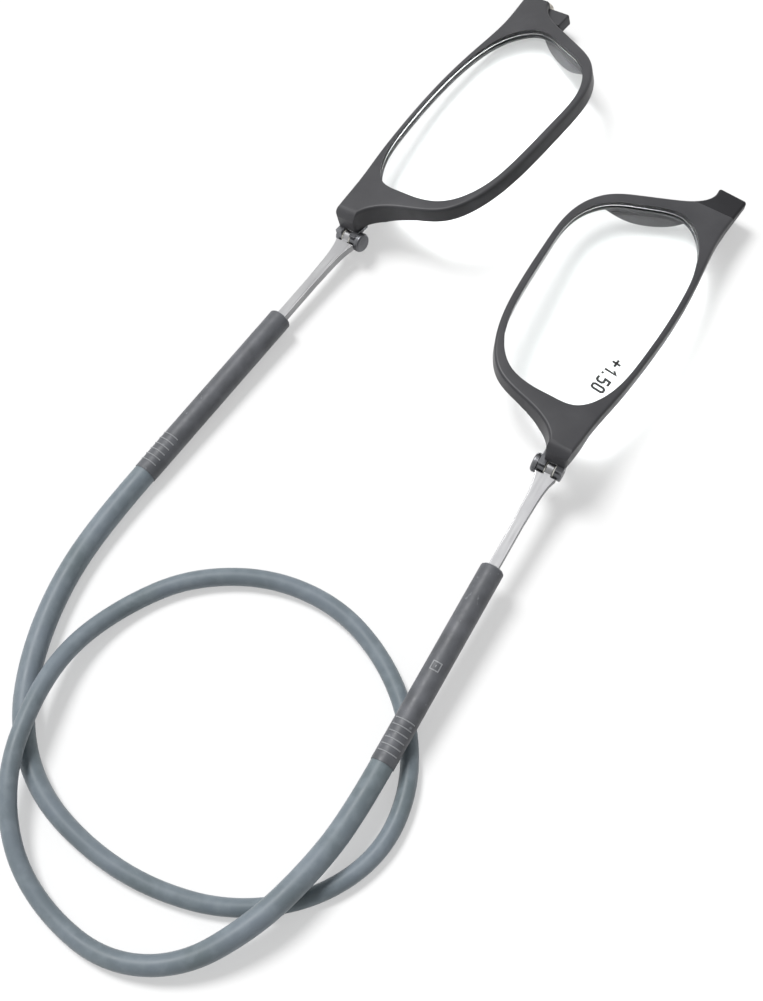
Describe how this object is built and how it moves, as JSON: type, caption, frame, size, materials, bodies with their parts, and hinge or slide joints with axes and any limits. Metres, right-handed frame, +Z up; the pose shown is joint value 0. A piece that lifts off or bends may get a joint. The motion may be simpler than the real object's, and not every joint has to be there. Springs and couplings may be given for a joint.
{
  "type": "reading glasses",
  "caption": "Half-eye reading glasses that part at a magnetic bridge, with folding arms sliding in sleeves on a soft neck cord, laid open on a table.",
  "frame": {"origin": "centre of the footprint of the glasses without the neck cord, on the table that they lie on", "axes": "+Z up from the table; +Y away from the viewer, towards the half fronts; +X to the viewer's right"},
  "size_m": [0.1325, 0.1952, 0.0146],
  "materials": {
    "rim_plastic": "fine satin moulded dark grey",
    "lens_clear": "polished clear",
    "housing_plastic": "satin near black",
    "magnet_nickel": "nickel plated",
    "hinge_steel": "satin steel",
    "stop_steel": "plain steel",
    "arm_steel": "bright satin silver",
    "washer_nylon": "natural nylon",
    "bush_nylon": "black nylon",
    "sleeve_rubber": "smooth satin grey",
    "cord_silicone": "smooth blue-grey silicone with a soft sheen",
    "print_film": "clear film with a black printed number"
  },
  "bodies": {
    "neck_band": {"neck_cord": "cord_silicone", "left_sleeve": "sleeve_rubber", "right_sleeve": "sleeve_rubber", "left_sleeve_bush": "bush_nylon", "right_sleeve_bush": "bush_nylon", "left_cord_plug": "bush_nylon", "right_cord_plug": "bush_nylon"},
    "left_arm": {"left_arm": "arm_steel", "left_arm_stop": "stop_steel"},
    "left_front": {"left_rim": "rim_plastic", "left_lens": "lens_clear", "left_bridge_magnet": "magnet_nickel", "left_hinge_leaf": "hinge_steel", "left_hinge_washers": "washer_nylon", "left_hinge_screw": "hinge_steel", "left_magnet_housing": "housing_plastic", "lens_power_print": "print_film"},
    "right_arm": {"right_arm": "arm_steel", "right_arm_stop": "stop_steel"},
    "right_front": {"right_rim": "rim_plastic", "right_lens": "lens_clear", "right_bridge_magnet": "magnet_nickel", "right_hinge_leaf": "hinge_steel", "right_hinge_washers": "washer_nylon", "right_hinge_screw": "hinge_steel"}
  },
  "joints": [
    {"name": "left_arm_slide", "type": "slide", "parent": "neck_band", "child": "left_arm", "axis": [0.4863, 0.8726, 0.0448], "range_m": [-0.009, 0.013]},
    {"name": "left_hinge", "type": "hinge", "parent": "left_arm", "child": "left_front", "pos_m": [0.01848, -0.02458, 0.00807], "axis": [-0.8736, 0.4867, 0.0031], "range_deg": [-8.57, 146.43]},
    {"name": "right_arm_slide", "type": "slide", "parent": "neck_band", "child": "right_arm", "axis": [0.6032, 0.7972, 0.0246], "range_m": [-0.009, 0.013]},
    {"name": "right_hinge", "type": "hinge", "parent": "right_arm", "child": "right_front", "pos_m": [-0.01699, 0.02559, 0.00392], "axis": [-0.7561, 0.5813, -0.3006], "range_deg": [-5, 150]}
  ]
}
